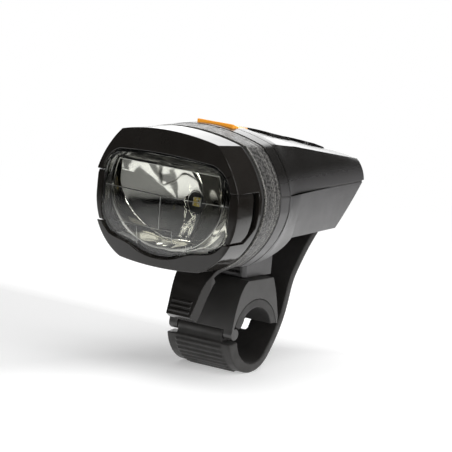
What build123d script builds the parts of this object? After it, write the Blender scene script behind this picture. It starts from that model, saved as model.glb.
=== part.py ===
"""Bike headlight on a handlebar clamp, with a rubber strap that hooks behind the saddle.

Millimetres. The origin is the centre of the handlebar. X runs along the bar, the beam goes towards -Y and
Z is up. The lamp slides off its rail towards -Y. Heights are measured from the centre of the bar.
"""

import os
from math import cos, radians, sin, sqrt

from build123d import *

# Fits and general values
running_gap = 0.05
slide_gap = 0.25
seat_gap = 0.1
soft_gap = 0.3
overrun = 1.0

# Handlebar clamp
bar_radius = 11.1
clamp_half_width = 15.5
pad_thickness = 3.4
pad_foot_z = 3.4
saddle_front_y = -7.0
saddle_rear_y = 10.0
saddle_top_z = 22.5
saddle_foot_z = 3.2
saddle_foot_wall = 1.1

# Rail on the saddle and the foot that slides on it
rail_stem_half = 6.0
rail_stem_height = 2.2
rail_flange_half = 9.0
rail_flange_height = 1.6
rail_front_y = -3.5
foot_half_width = 11.6
foot_front_y = -5.0
foot_rear_y = 13.4
foot_wall = 2.35
foot_ceiling = 1.2
foot_mouth_depth = 1.5
foot_corner_chamfer = 1.4

# Strap
strap_pin_y = -13.5
strap_pin_z = 1.5
strap_pin_radius = 1.2
strap_pin_half_length = 14.3
strap_knuckle_radius = 2.4
strap_knuckle_half = 11.0
strap_neck_thickness = 5.4
strap_tail_thickness = 3.1
strap_rib_pitch = 2.2
strap_rib_radius = 0.7
strap_rib_count = 8
strap_tail_top_z = 39.6
strap_slot_half_width = 2.4
strap_slot_length = 6.0
hook_half_width = 1.5
hook_reach = 2.5
hook_thickness = 1.6
hook_rise = 3.4
hook_z = 8.5

# Outline of the saddle: shares of the way from the front foot to the top, and from the top to the rear foot
saddle_front_shares = ((0, 0), (0.12, 0.3), (0.3, 0.57), (0.52, 0.78), (0.78, 0.93), (1, 1))
saddle_rear_shares = ((0, 1), (0.3, 0.83), (0.72, 0.5), (1, 0.22))

# Strap: angles of its loop round the bar, then its free tail as shares of the bar's radius and its neck as
# shares of the knuckle's radius
strap_loop_angles = (188, 210, 235, 260, 285, 308, 328)
strap_tail_shares = (
    (1.42, 0.31), (1.65, 0.87), (1.81, 1.45), (1.99, 1.95), (2.3, 2.44), (2.61, 2.86), (3.32, 3.64)
)
strap_neck_shares = ((-0.9, -0.5), (0.8, -0.5), (1.1, -1.5), (-1.1, -1.6))
strap_slot_shares = (0.44, 0.552, 0.665, 0.777, 0.889)
strap_taper_share = 0.3

# Lamp stations: place, half width, top and floor of each section
nose_y = -51.0
nose_half_width = 34.9
nose_top_z = 82.8
nose_floor_z = 29.3
ring_y = -22.0
ring_half_width = 34.4
ring_top_z = 83.6
ring_floor_z = 28.9
flare_start_y = -11.0
flare_mid_y = -5.0
flare_half_width = 32.0
flare_top_z = 81.8
flare_floor_z = 33.6
waist_y = 3.0
waist_half_width = 30.4
waist_top_z = 80.0
waist_floor_z = 40.3
tail_y = 58.0
tail_half_width = 25.2
tail_top_z = 69.2
tail_floor_z = 41.2
tail_peak_y = 53.2
tail_peak_z = 60.4
tail_heel_y = 38.0
tail_brow_y = 52.4
tail_brow_z = 68.4
parting_z = 60.2
bow_radius = 125.0
dome_z = 55.0

# Half outline of each section: shares of its half width and of its height above its floor
nose_outline_shares = (
    (0, 1), (0.65, 0.958), (0.857, 0.8), (1, 0.6), (1, 0.48), (0.86, 0.167), (0.545, 0.018), (0, 0)
)
ring_outline_shares = (
    (0, 1), (0.727, 0.912), (0.892, 0.766), (1, 0.56), (1, 0.46), (0.878, 0.23), (0.58, 0.024), (0, 0)
)
flare_outline_shares = (
    (0, 1), (0.775, 0.919), (0.919, 0.755), (1, 0.544), (1, 0.465), (0.944, 0.237), (0.79, 0.03), (0, 0)
)
waist_outline_shares = (
    (0, 1), (0.806, 0.925), (0.931, 0.723), (1, 0.513), (0.998, 0.489), (0.957, 0.244), (0.888, 0.017), (0, 0)
)
tail_outline_shares = (
    (0, 1), (0.863, 0.941), (0.96, 0.836), (1, 0.686), (0.998, 0.665), (0.95, 0.34), (0.881, 0.017), (0, 0)
)

# Rings along the head, measured at the centre line behind the nose
bezel_length = 16.0
front_groove_width = 2.7
front_band_width = 5.5
rear_band_width = 4.9
rear_band_sink = 0.6
groove_depth = 0.9
lip_width = 5.6
lip_line_width = 0.4
lip_line_depth = 0.3
collar_wall = 2.2
band_fit_gap = 0.05

# Bezel
bezel_wall = 2.2
bezel_face = 3.0
notch_top_z = 62.8
notch_bottom_z = 42.8
notch_inner_half = 27.0
notch_length = 14.0
notch_slant_length = 4.5
notch_slant_rise = 6.0
window_gap = 0.3

# Lens and the frame round it
lens_recess = 0.8
lens_wall = 2.0
lens_side_wall = 1.2
lens_edge_round = 1.3
lens_flange_width = 1.3
lens_flange_thickness = 1.6
lens_flange_depth = 5.0
optic_step = 0.5
optic_line_z = 57.4
optic_pad_z = 44.2
optic_pad_low_z = 39.7
optic_pad_left = -11.0
optic_pad_step_x = 6.0
optic_pad_right = 12.4
frame_ear_inset = 0.7
frame_ear_length = 10.5
frame_bowl_gap = 0.15
frame_rim = 0.9
seal_thickness = 1.0

# Window of the lens: shares of the nose half width and of the nose height
window_shares = (
    (0, 0.826), (0.645, 0.801), (0.811, 0.724), (0.877, 0.589), (0.877, 0.331), (0.815, 0.24), (0.71, 0.182)
)
window_wave_shares = ((0.573, 0.161), (0.42, 0.143), (0.28, 0.106))
window_floor_share = 0.075
window_centre_share = 0.46

# Reflector
cup_top_z = 69.2
cup_top_half = 25.0
cup_side_half = 26.8
cup_side_z = 56.0
cup_low_half = 25.3
cup_low_z = 50.0
cup_heel_half = 16.5
cup_heel_z = 40.2
cup_bottom_z = 36.5
cup_rim_y = -44.6
cup_wall = 1.2
cup_axis_z = 53.0
cup_focus = 11.5
cup_apex_y = -24.5
facet_count = 16
facet_ring_shares = (1.0, 0.72, 0.44, 0.2)
facet_reach = 33.0
reflector_flange_thickness = 1.4
emitter_hole_radius = 4.0

# Light source and heat sink
board_radius = 10.0
board_thickness = 1.6
emitter_half_width = 1.75
emitter_base = 0.8
emitter_dome_radius = 1.6
sink_half_width = 15.0
sink_half_height = 12.0
sink_plate = 2.0
sink_length = 7.0
sink_fin_count = 7
sink_fin_thickness = 1.2
board_screw_offset = 7.2
board_screw_radius = 0.9
board_screw_head_radius = 1.6
board_screw_head = 0.9
board_screw_length = 3.2

# Housing shells
housing_wall = 2.2
housing_seal_thickness = 0.6
housing_seal_width = 1.2
post_x = 21.7
post_front_y = 8.0
post_rear_y = 30.0
post_radius = 2.3
screw_radius = 1.1
screw_head_radius = 1.9
screw_head_height = 1.6
screw_grip = 6.0
screw_counterbore = 2.6

# Raised pads on the roof
pad_rise = 1.2
pad_half_width = 10.5
pad_corner_round = 2.5
cover_front_y = 6.8
cover_length = 15.0
rear_pad_front_y = 31.4
rear_pad_length = 15.0

# Button
button_half_width = 9.0
button_front_y = -17.6
button_rear_y = -7.4
button_rise = 1.1
button_rear_drop = 1.0
button_lip_length = 5.0
lip_steepest = 40
button_sink = 2.4
well_wall = 1.0
button_round = 0.9
button_travel = 0.6
stem_radius = 2.5
boot_thickness = 0.8
boot_margin = 1.6
boot_dome_radius = 3.4

# Electronics
main_board_z = 66.4
main_board_thickness = 1.6
main_board_front_y = -16.5
main_board_rear_y = 25.0
switch_half = 3.0
switch_height = 3.4
switch_plunger_radius = 1.6
switch_plunger_height = 0.8
port_half_width = 4.5
port_half_depth = 1.6
port_y = 12.0
port_wall = 0.4
port_depth = 6.0
port_below_roof = 1.6

# Batteries
cell_radius = 9.2
cell_length = 49.5
cell_front_y = -12.0
cell_spacing = 18.7
cell_z = 53.7
cell_edge_round = 0.4
cell_pole_height = 0.6
cell_pole_radius = 3.0
cradle_wall = 1.2
cradle_height_share = 0.42
cradle_gap = 0.2
strip_thickness = 0.2
strip_half_height = 3.0

# Release lever, on its pin in the foot
lever_pin_y = -3.0
lever_pin_z = 29.9
lever_pin_radius = 1.0
lever_pin_half_length = 10.4
lever_root_half = 8.5
lever_tip_half = 5.8
lever_thickness = 2.0
lever_knuckle_radius = 1.8
lever_throat_y = -10.5
lever_throat_z = 27.4
lever_shoulder_y = -17.6
lever_shoulder_z = 26.3
lever_bend_y = -22.6
lever_bend_z = 23.6
lever_waist_y = -26.6
lever_waist_z = 17.6
lever_tip_y = -30.7
lever_tip_z = 8.0
lever_tail_y = 4.8
lever_rib_radius = 0.6
lever_rib_count = 3
lever_rib_pitch = 2.0
lever_rib_margin = 1.0
lever_skirt_depth = 1.4
lever_wall = 1.2
lever_wall_depth = 2.2
lever_steps = 12
lever_wall_start = 6

# Catch spring
spring_thickness = 0.5
spring_half_width = 8.0
spring_lift_gap = 0.1
tooth_half_width = 2.8
tooth_y = 3.4
tooth_depth = 1.3
tooth_gap = 0.3


def upright(y):
    """Plane across the lamp that faces the front: local x is X and local y is Z."""
    return Plane(origin=(0, y, 0), x_dir=(1, 0, 0), z_dir=(0, -1, 0))


def lengthwise(x):
    """Plane along the lamp: local x is Y and local y is Z."""
    return Plane(origin=(x, 0, 0), x_dir=(0, 1, 0), z_dir=(1, 0, 0))


def block(x, y, z):
    """Box between pairs of limits."""
    size = [high - low for low, high in (x, y, z)]
    centre = [(high + low) / 2 for low, high in (x, y, z)]
    return Pos(*centre) * Box(*size)


def rod(radius, start, end):
    """Cylinder from one point to another."""
    way = Vector(*end) - Vector(*start)
    return extrude(Plane(origin=start, z_dir=way) * Circle(radius), way.length)


def profile_solid(points, half_width):
    """Side outline of straight edges, made into a solid that is symmetric about X = 0."""
    face = make_face(Polyline(*points, close=True))
    return extrude(lengthwise(0) * face, half_width, both=True)


def flip(point):
    return (-point[0], point[1])


class Station:
    """One upright section through the lamp."""

    def __init__(self, y, half_width, top_z, floor_z, shares):
        self.y, self.half_width, self.top_z, self.floor_z, self.shares = y, half_width, top_z, floor_z, shares

    def at(self, y):
        return Station(y, self.half_width, self.top_z, self.floor_z, self.shares)

    def face(self, inset=0):
        """Crowned roof, bulged cheeks, upright sides, bulged jowls and a flat floor."""
        half = self.half_width - inset
        floor = self.floor_z + inset
        height = self.top_z - self.floor_z - 2 * inset
        crown, corner, cheek, side_top, side_low, jowl, heel, keel = [
            (half * across, floor + height * up) for across, up in self.shares
        ]
        edges = [
            ThreePointArc(flip(corner), crown, corner),
            ThreePointArc(corner, cheek, side_top),
            Line(side_top, side_low),
            ThreePointArc(side_low, jowl, heel),
            Line(heel, flip(heel)) if keel[1] == heel[1] else ThreePointArc(heel, keel, flip(heel)),
            ThreePointArc(flip(heel), flip(jowl), flip(side_low)),
            Line(flip(side_low), flip(side_top)),
            ThreePointArc(flip(side_top), flip(cheek), flip(corner)),
        ]
        return upright(self.y) * make_face(Curve() + edges)


nose = Station(nose_y - overrun, nose_half_width, nose_top_z, nose_floor_z, nose_outline_shares)
ring = Station(ring_y, ring_half_width, ring_top_z, ring_floor_z, ring_outline_shares)
flare = Station(flare_mid_y, flare_half_width, flare_top_z, flare_floor_z, flare_outline_shares)
waist = Station(waist_y, waist_half_width, waist_top_z, waist_floor_z, waist_outline_shares)
tail = Station(tail_y, tail_half_width, tail_top_z, tail_floor_z, tail_outline_shares)

# Faces between the rings, at the centre line
bezel_rear_y = nose_y + bezel_length
front_band_y = bezel_rear_y + front_groove_width
rear_band_y = front_band_y + front_band_width
housing_y = rear_band_y + rear_band_width
lip_line_y = housing_y + lip_width


def bow_drop(x):
    """How far a bowed face falls back at a distance from the centre line."""
    return bow_radius - sqrt(bow_radius**2 - x**2)


def bowed_slab(front, rear):
    """Space between two upright faces that bow forward alike, placed at the centre line."""
    reach = nose_half_width + 2 * overrun
    back = bow_drop(reach)
    outline = Curve() + [
        ThreePointArc((-reach, front + back), (0, front), (reach, front + back)),
        Line((reach, front + back), (reach, rear + back)),
        ThreePointArc((reach, rear + back), (0, rear), (-reach, rear + back)),
        Line((-reach, rear + back), (-reach, front + back)),
    ]
    floor = nose_floor_z - overrun
    return extrude(Pos(0, 0, floor) * make_face(outline), ring_top_z + overrun - floor)


def dome(depth=0):
    """Ball whose front is the domed face of the nose, or lies a depth behind it."""
    return Pos(0, nose_y + bow_radius, dome_z) * Sphere(bow_radius - depth)


def head_form(inset=0):
    """Front half of the lamp's outside, drawn in by a wall."""
    head = loft([nose.face(inset), ring.face(inset)], ruled=True)
    return head + loft([ring.face(inset), ring.at(flare_start_y).face(inset)], ruled=True)


def body_form(inset=0):
    """Rear half of the lamp's outside: it flares in behind the ring and tapers to the tail."""
    neck = loft([ring.at(ring_y - 2 * overrun).face(inset), ring.at(flare_start_y).face(inset)], ruled=True)
    flank = loft([ring.at(flare_start_y).face(inset), flare.face(inset), waist.face(inset)])
    stern = loft([waist.face(inset), tail.face(inset)], ruled=True)
    tail_cut = profile_solid(
        [
            (housing_y - 2 * overrun, tail_floor_z - 2 * overrun - (waist_floor_z - ring_floor_z)),
            (tail_heel_y - inset, tail_floor_z - 2 * overrun - (waist_floor_z - ring_floor_z)),
            (tail_heel_y - inset, tail_floor_z),
            (tail_peak_y - inset, tail_peak_z),
            (tail_brow_y - inset, tail_brow_z),
            (tail_brow_y - inset - (tail_peak_y - tail_brow_y), ring_top_z + overrun),
            (housing_y - 2 * overrun, ring_top_z + overrun),
        ],
        nose_half_width + overrun,
    )
    return (neck + flank + stern) & tail_cut


def ring_piece(outer_inset, inner_inset, front, rear):
    """Ring of the head form between two bowed faces."""
    return (head_form(outer_inset) - head_form(inner_inset)) & bowed_slab(front, rear)


def window_face(y, grow=0):
    """Outline of the lens window: crowned top, round shoulders, upright sides and a wavy chin."""
    height = nose_top_z - nose_floor_z
    centre_z = nose_floor_z + height * window_centre_share
    half = nose_half_width * window_shares[3][0]
    tall = height * (window_shares[0][1] - window_floor_share) / 2

    def place(share):
        across = nose_half_width * share[0]
        up = nose_floor_z + height * share[1] - centre_z
        return (across * (1 + grow / half), centre_z + up * (1 + grow / tall))

    crown, corner, shoulder, side_top, side_low, hip, heel = [place(share) for share in window_shares]
    wave = [place(share) for share in window_wave_shares]
    keel = place((0, window_floor_share))
    chin = [heel, *wave, keel, *[flip(point) for point in reversed(wave)], flip(heel)]
    edges = [
        ThreePointArc(flip(corner), crown, corner),
        ThreePointArc(corner, shoulder, side_top),
        Line(side_top, side_low),
        ThreePointArc(side_low, hip, heel),
        Spline(*chin),
        ThreePointArc(flip(heel), flip(hip), flip(side_low)),
        Line(flip(side_low), flip(side_top)),
        ThreePointArc(flip(side_top), flip(shoulder), flip(corner)),
    ]
    return upright(y) * make_face(Curve() + edges)


def window_prism(front, rear, grow=0):
    """Window outline carried along the beam from front to rear."""
    return extrude(window_face(rear, grow), rear - front)


def cup_face(y, grow=0):
    """D outline of the reflector: flat top, upright sides and a round bottom."""
    top_z = cup_top_z + grow
    corner = (cup_top_half + grow, top_z)
    side = (cup_side_half + grow, cup_side_z)
    low = (cup_low_half + grow, cup_low_z)
    heel = (cup_heel_half + grow * sqrt(2) / 2, cup_heel_z - grow * sqrt(2) / 2)
    keel = (0, cup_bottom_z - grow)
    edges = [
        Line(flip(corner), corner),
        ThreePointArc(corner, side, low),
        ThreePointArc(low, heel, keel),
        ThreePointArc(keel, flip(heel), flip(low)),
        ThreePointArc(flip(low), flip(side), flip(corner)),
    ]
    return upright(y) * make_face(Curve() + edges)


def facet_bowl(shift=0):
    """Bowl of flat facets on rings of a paraboloid, moved back by a wall."""

    def facet_ring(share):
        reach = facet_reach * share
        y = cup_apex_y + shift - reach**2 / (4 * cup_focus)
        return upright(y) * Pos(0, cup_axis_z) * RegularPolygon(reach, facet_count)

    rings = [facet_ring(share) for share in facet_ring_shares]
    bowl = Part()
    for outer, inner in zip(rings, rings[1:]):
        bowl += loft([outer, inner], ruled=True)
    mouth_y = cup_apex_y + shift - facet_reach**2 / (4 * cup_focus)
    return bowl + extrude(rings[0], mouth_y - nose_y)


def make_front_bezel():
    """Gloss frame: a bowed face with visor and chin, open at both sides, on one rear rim."""
    shell = head_form() & dome() & bowed_slab(nose_y, bezel_rear_y)
    shell -= head_form(bezel_wall) & dome(bezel_face) & bowed_slab(nose_y, bezel_rear_y + overrun)
    shell -= window_prism(nose_y - overrun, nose_y + 2 * bezel_face + bow_drop(nose_half_width), window_gap)
    rim_y = nose_y + bow_drop(nose_half_width) + notch_length
    notch = profile_solid(
        [
            (nose_y - overrun, notch_bottom_z),
            (rim_y - notch_slant_length, notch_bottom_z),
            (rim_y, notch_bottom_z + notch_slant_rise),
            (rim_y, notch_top_z),
            (nose_y - overrun, notch_top_z),
        ],
        nose_half_width + overrun,
    )
    inner = (-notch_inner_half, notch_inner_half)
    return shell - (notch - block(inner, (nose_y - 2 * overrun, rim_y), (nose_floor_z, nose_top_z)))


def lens_seat_y():
    """Rear face of the lens flange."""
    return nose_y + bezel_face + lens_flange_depth + lens_flange_thickness


def make_lens_frame():
    """Frame behind the bezel face, with an ear that fills each side notch."""
    rear = lens_seat_y() + seal_thickness + reflector_flange_thickness
    frame = head_form(bezel_wall + frame_bowl_gap) & dome(bezel_face + seat_gap) & bowed_slab(nose_y, rear)
    ears = head_form(frame_ear_inset) & dome(lens_recess)
    ears &= bowed_slab(nose_y, nose_y + lens_recess + frame_ear_length)
    low, high = notch_bottom_z + slide_gap, notch_top_z - slide_gap
    end = nose_y + bow_drop(nose_half_width) + notch_length - slide_gap
    ears &= profile_solid(
        [
            (nose_y, low),
            (end - notch_slant_length, low),
            (end, low + notch_slant_rise),
            (end, high),
            (nose_y, high),
        ],
        nose_half_width,
    )
    frame += ears
    frame -= window_prism(nose_y - overrun, rear + bow_drop(nose_half_width), seat_gap)
    seat = window_prism(lens_seat_y() - lens_flange_thickness - seat_gap, 0, lens_flange_width + seat_gap)
    return frame - (seat & seat_form())


def seat_form(gap=0):
    """Space inside the frame's rim for the flanges of lens, seal and reflector."""
    return head_form(bezel_wall + frame_bowl_gap + frame_rim + gap)


def optic_pad_outline():
    """Stepped outline of the thick zone in the lens."""
    floor = nose_floor_z
    return [
        (optic_pad_left, floor),
        (optic_pad_left, optic_pad_z),
        (optic_pad_step_x, optic_pad_z),
        (optic_pad_step_x, optic_pad_low_z),
        (optic_pad_right, optic_pad_low_z),
        (optic_pad_right, floor),
    ]


def make_front_lens():
    """Clear domed shell with a seat flange and light-shaping steps on its inner face."""
    rear = lens_seat_y()
    shell = dome(lens_recess) & window_prism(nose_y, rear)
    shell = fillet(shell.faces().sort_by(Axis.Y)[0].edges(), lens_edge_round)
    inside = window_prism(nose_y, rear + overrun, -lens_side_wall)
    depth = lens_recess + lens_wall
    half = nose_half_width
    hollow = inside & dome(depth)
    upper = inside & dome(depth - optic_step)
    upper &= block((-half, half), (nose_y, rear), (optic_line_z, nose_top_z))
    left = inside & dome(depth - optic_step / 2)
    left &= block((-half, 0), (nose_y, rear), (optic_pad_z, optic_line_z))
    pad = extrude(upright(rear) * make_face(Polyline(*optic_pad_outline(), close=True)), rear - nose_y)
    shell -= hollow + upper + left - (pad - dome(depth + optic_step))
    flange = window_prism(rear - lens_flange_thickness, rear, lens_flange_width) & seat_form(seat_gap)
    return shell + (flange - inside)


def make_lens_seal():
    """Rubber ring between the lens flange and the reflector flange."""
    front = lens_seat_y()
    ring_band = window_prism(front, front + seal_thickness, lens_flange_width) & seat_form(seat_gap)
    return ring_band - window_prism(front - overrun, front + seal_thickness + overrun, -lens_side_wall)


def make_reflector():
    """D cup with a faceted bowl, a flange and a hole for the emitter."""
    flange_front = lens_seat_y() + seal_thickness
    prism = extrude(cup_face(0, 0), -cup_rim_y)
    inside = extrude(cup_face(0, -cup_wall), -nose_y)
    cup = (prism & facet_bowl(cup_wall)) - (inside & facet_bowl())
    flange = window_prism(flange_front, flange_front + reflector_flange_thickness, lens_flange_width)
    flange &= seat_form(seat_gap)
    flange -= extrude(cup_face(0, -cup_wall / 2), -nose_y)
    hole = rod(emitter_hole_radius, (0, cup_rim_y, cup_axis_z), (0, 0, cup_axis_z))
    return cup + flange - hole


def reflector_back_y():
    """Rear of the bowl, where its last ring of facets ends."""
    reach = facet_reach * facet_ring_shares[-1]
    return cup_apex_y + cup_wall - reach**2 / (4 * cup_focus)


def make_led_board():
    """Round metal-core board behind the bowl, with two screw holes."""
    front = reflector_back_y() + seat_gap
    board = rod(board_radius, (0, front, cup_axis_z), (0, front + board_thickness, cup_axis_z))
    for side in (-1, 1):
        x = side * board_screw_offset
        ahead, sunk = (x, front - overrun, cup_axis_z), (x, front + board_screw_head, cup_axis_z)
        board -= rod(board_screw_radius + running_gap, ahead, (x, 0, cup_axis_z))
        board -= rod(board_screw_head_radius + running_gap, ahead, sunk)
    return board


def make_led_emitter():
    """Square package with a clear dome."""
    rear = reflector_back_y() + seat_gap
    half = emitter_half_width
    base = block((-half, half), (rear - emitter_base, rear), (cup_axis_z - half, cup_axis_z + half))
    dome = Pos(0, rear - emitter_base, cup_axis_z) * Sphere(emitter_dome_radius)
    middle = rear - emitter_base
    front_half = block((-half, half), (middle - half, middle), (cup_axis_z - half, cup_axis_z + half))
    return base + (dome & front_half)


def sink_front_y():
    return reflector_back_y() + seat_gap + board_thickness


def make_heat_sink():
    """Plate with upright fins behind the board."""
    front = sink_front_y()
    half, tall = sink_half_width, sink_half_height
    height = (cup_axis_z - tall, cup_axis_z + tall)
    sink = block((-half, half), (front, front + sink_plate), height)
    step = 2 * (half - sink_fin_thickness / 2) / (sink_fin_count - 1)
    for i in range(sink_fin_count):
        x = -half + i * step
        sink += block((x, x + sink_fin_thickness), (front, front + sink_length), height)
    for side in (-1, 1):
        x = side * board_screw_offset
        end = front + board_screw_length
        sink -= rod(board_screw_radius + running_gap, (x, front - overrun, cup_axis_z), (x, end, cup_axis_z))
    return sink


def make_board_screws():
    """Two screws that hold the board to the heat sink."""
    face = reflector_back_y() + seat_gap
    screws = []
    for side in (-1, 1):
        x = side * board_screw_offset
        end = sink_front_y() + sink_plate
        shank = rod(board_screw_radius, (x, face, cup_axis_z), (x, end, cup_axis_z))
        head = rod(board_screw_head_radius, (x, face, cup_axis_z), (x, face + board_screw_head, cup_axis_z))
        screws.append(shank + head)
    return Compound(children=screws)


def make_collar():
    """Hard ring between bezel and housing, with two grooves that show and seats for the bands."""
    sleeve = ring_piece(groove_depth, groove_depth + collar_wall, bezel_rear_y, housing_y)
    inner = groove_depth + collar_wall
    web_rear = housing_y - slide_gap
    web = head_form(inner - overrun) & bowed_slab(web_rear - collar_wall, web_rear)
    opening = block(
        (-sink_half_width - overrun, sink_half_width + overrun),
        (nose_y, 0),
        (cup_axis_z - sink_half_height - overrun, cup_axis_z + sink_half_height + overrun),
    )
    return sleeve + (web & head_form(groove_depth)) - opening


def make_band(front, width, sink=0):
    """Textured rubber band in its seat on the collar, sunk or level with the bezel."""
    return ring_piece(sink, groove_depth - band_fit_gap, front, front + width)


def shell_form():
    """Wall of the rear housing, open at the front, with a fine line behind its lip."""
    outer = body_form() & bowed_slab(housing_y, tail_y)
    line = head_form(-overrun) - head_form(lip_line_depth)
    line &= bowed_slab(lip_line_y, lip_line_y + lip_line_width)
    return outer - body_form(housing_wall) - line


def post_places():
    return [(side * post_x, y) for side in (-1, 1) for y in (post_front_y, post_rear_y)]


def pad_form(front, length):
    """Raised pad on the roof: its front stands up and it sinks into the roof behind."""
    half, round_off = pad_half_width, pad_corner_round
    plan = Pos(0, front + length / 2) * RectangleRounded(2 * half, length, round_off)
    column = extrude(Pos(0, 0, parting_z) * plan, ring_top_z + overrun - parting_z)
    return column & (Pos(0, 0, pad_rise) * body_form())


def port_slot(margin, low, high):
    """Slot of the charging socket, grown by a margin."""
    half, depth = port_half_width + margin, port_half_depth + margin
    return block((-half, half), (port_y - depth, port_y + depth), (low, high))


def roof_z(y):
    """Height of the roof's crown between waist and tail."""
    along = (y - waist_y) / (tail_y - waist_y)
    return waist_top_z + (tail_top_z - waist_top_z) * along


def make_upper_housing():
    """Roof shell with screw bosses, button well, port slot and the rear pad."""
    upper = body_form()
    shell = shell_form()
    for x, y in post_places():
        boss = rod(post_radius, (x, y, parting_z), (x, y, ring_top_z)) & upper
        shell += boss
    lid = block(
        (-nose_half_width, nose_half_width),
        (housing_y - overrun, tail_y),
        (parting_z + seat_gap / 2, ring_top_z + overrun),
    )
    shell &= lid
    for x, y in post_places():
        thread_top = parting_z + screw_grip + seat_gap
        shell -= rod(screw_radius + running_gap, (x, y, parting_z - overrun), (x, y, thread_top))
    slope = pad_form(rear_pad_front_y, rear_pad_length) - pad_taper(rear_pad_front_y, rear_pad_length)
    shell += slope - body_form(housing_wall)
    shell += button_well()
    shell -= button_space(slide_gap, well_floor_z())
    y = button_centre_y()
    shell -= rod(boot_dome_radius + soft_gap, (0, y, parting_z), (0, y, ring_top_z))
    shell -= port_slot(seat_gap, parting_z, ring_top_z)
    return shell


def pad_taper(front, length):
    """What is cut off a raised pad so that its top falls into the roof behind."""
    rear, above = front + length, ring_top_z + overrun
    wedge = [(front, roof_z(front) + pad_rise), (front, above), (rear, above), (rear, roof_z(rear))]
    return profile_solid(wedge, pad_half_width + overrun)


def button_space(gap, low):
    """Upright well of the button, grown by a gap."""
    half = button_half_width + gap
    length = button_rear_y - button_front_y + 2 * gap
    centre = (button_front_y + button_rear_y) / 2
    plan = Pos(0, centre) * RectangleRounded(2 * half, length, button_round + gap)
    return extrude(Pos(0, 0, low) * plan, ring_top_z + 2 * overrun - low)


def button_centre_y():
    return (button_front_y + button_rear_y) / 2


def well_floor_z():
    """Top of the floor that carries the boot under the button."""
    return ring_top_z - button_sink - button_travel - boot_thickness - slide_gap


def button_well():
    """Cup under the roof that the button and its boot sit in."""
    return button_space(slide_gap + well_wall, well_floor_z() - housing_wall) & body_form(seat_gap)


def make_lower_housing():
    """Floor shell with screw posts and the foot that slides on the rail."""
    shell = shell_form()
    for x, y in post_places():
        post = rod(post_radius, (x, y, tail_floor_z), (x, y, parting_z)) & body_form()
        shell += post
    shell &= block(
        (-nose_half_width, nose_half_width),
        (housing_y - overrun, tail_y),
        (nose_floor_z - overrun, parting_z - housing_seal_thickness),
    )
    shell += foot_block() - body_form(housing_wall)
    shell -= foot_channel()
    for x, y in post_places():
        shell -= rod(screw_radius + running_gap, (x, y, nose_floor_z), (x, y, parting_z + overrun))
        low = min(waist_floor_z, tail_floor_z) - overrun
        shell -= rod(screw_head_radius + running_gap, (x, y, low), (x, y, tail_floor_z + screw_counterbore))
    return shell


def channel_floor_z():
    return saddle_top_z + slide_gap


def rail_top_z():
    return saddle_top_z + rail_stem_height + rail_flange_height


def ceiling_z():
    return rail_top_z() + slide_gap


def cavity_z():
    return ceiling_z() + foot_ceiling


def foot_block():
    """Neck between the housing's floor and the rail, with chamfered front corners."""
    half, cut = foot_half_width, foot_corner_chamfer
    plan = [
        (-half, foot_front_y + cut),
        (-half + cut, foot_front_y),
        (half - cut, foot_front_y),
        (half, foot_front_y + cut),
        (half, foot_rear_y),
        (-half, foot_rear_y),
    ]
    face = make_face(Polyline(*plan, close=True))
    return extrude(Pos(0, 0, channel_floor_z()) * face, waist_floor_z + housing_wall - channel_floor_z())


def foot_channel():
    """T slot that is open behind and has a stop in front, with the room for catch, lever and spring."""
    front, rear = foot_front_y - overrun, foot_rear_y + overrun
    stop = rail_front_y - slide_gap
    stem = rail_stem_half + slide_gap
    flange = rail_flange_half + slide_gap
    lip_top = saddle_top_z + rail_stem_height - slide_gap
    slot = block((-stem, stem), (stop, rear), (channel_floor_z() - overrun, ceiling_z()))
    slot += block((-flange, flange), (stop, rear), (lip_top, ceiling_z()))
    inner = foot_half_width - foot_wall
    roof = spring_z() + spring_thickness + lever_skirt_depth
    room = block((-inner, inner), (front, foot_rear_y - foot_wall), (cavity_z(), roof))
    room += block((-inner, inner), (front, foot_front_y + foot_mouth_depth), (lip_top, cavity_z()))
    catch = block(
        (-tooth_half_width - tooth_gap, tooth_half_width + tooth_gap),
        (tooth_y - tooth_gap, tooth_y + spring_thickness + tooth_gap),
        (lip_top, roof),
    )
    pin = rod(
        lever_pin_radius + running_gap,
        (-lever_pin_half_length - running_gap, lever_pin_y, lever_pin_z),
        (lever_pin_half_length + running_gap, lever_pin_y, lever_pin_z),
    )
    seat = block(
        (-spring_half_width - seat_gap, spring_half_width + seat_gap),
        (front, foot_rear_y - foot_wall / 2),
        (spring_z() - seat_gap / 2, spring_z() + spring_thickness + seat_gap / 2),
    )
    return slot + room + catch + pin + seat


def make_housing_seal():
    """Thin gasket that follows the parting line."""
    outside, inside = (housing_wall - housing_seal_width) / 2, (housing_wall + housing_seal_width) / 2
    wall = body_form(outside) - body_form(inside)
    layer = block(
        (-nose_half_width, nose_half_width),
        (housing_y, tail_y),
        (parting_z - housing_seal_thickness, parting_z + seat_gap / 2),
    )
    return wall & layer & bowed_slab(housing_y + seat_gap, tail_y)


def make_housing_screws():
    """Four screws from below, through the posts into the bosses."""
    screws = []
    for x, y in post_places():
        head_top = tail_floor_z + screw_counterbore
        shank = rod(screw_radius, (x, y, head_top), (x, y, parting_z + screw_grip))
        head = rod(screw_head_radius, (x, y, head_top - screw_head_height), (x, y, head_top))
        screws.append(shank + head)
    return Compound(children=screws)


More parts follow.
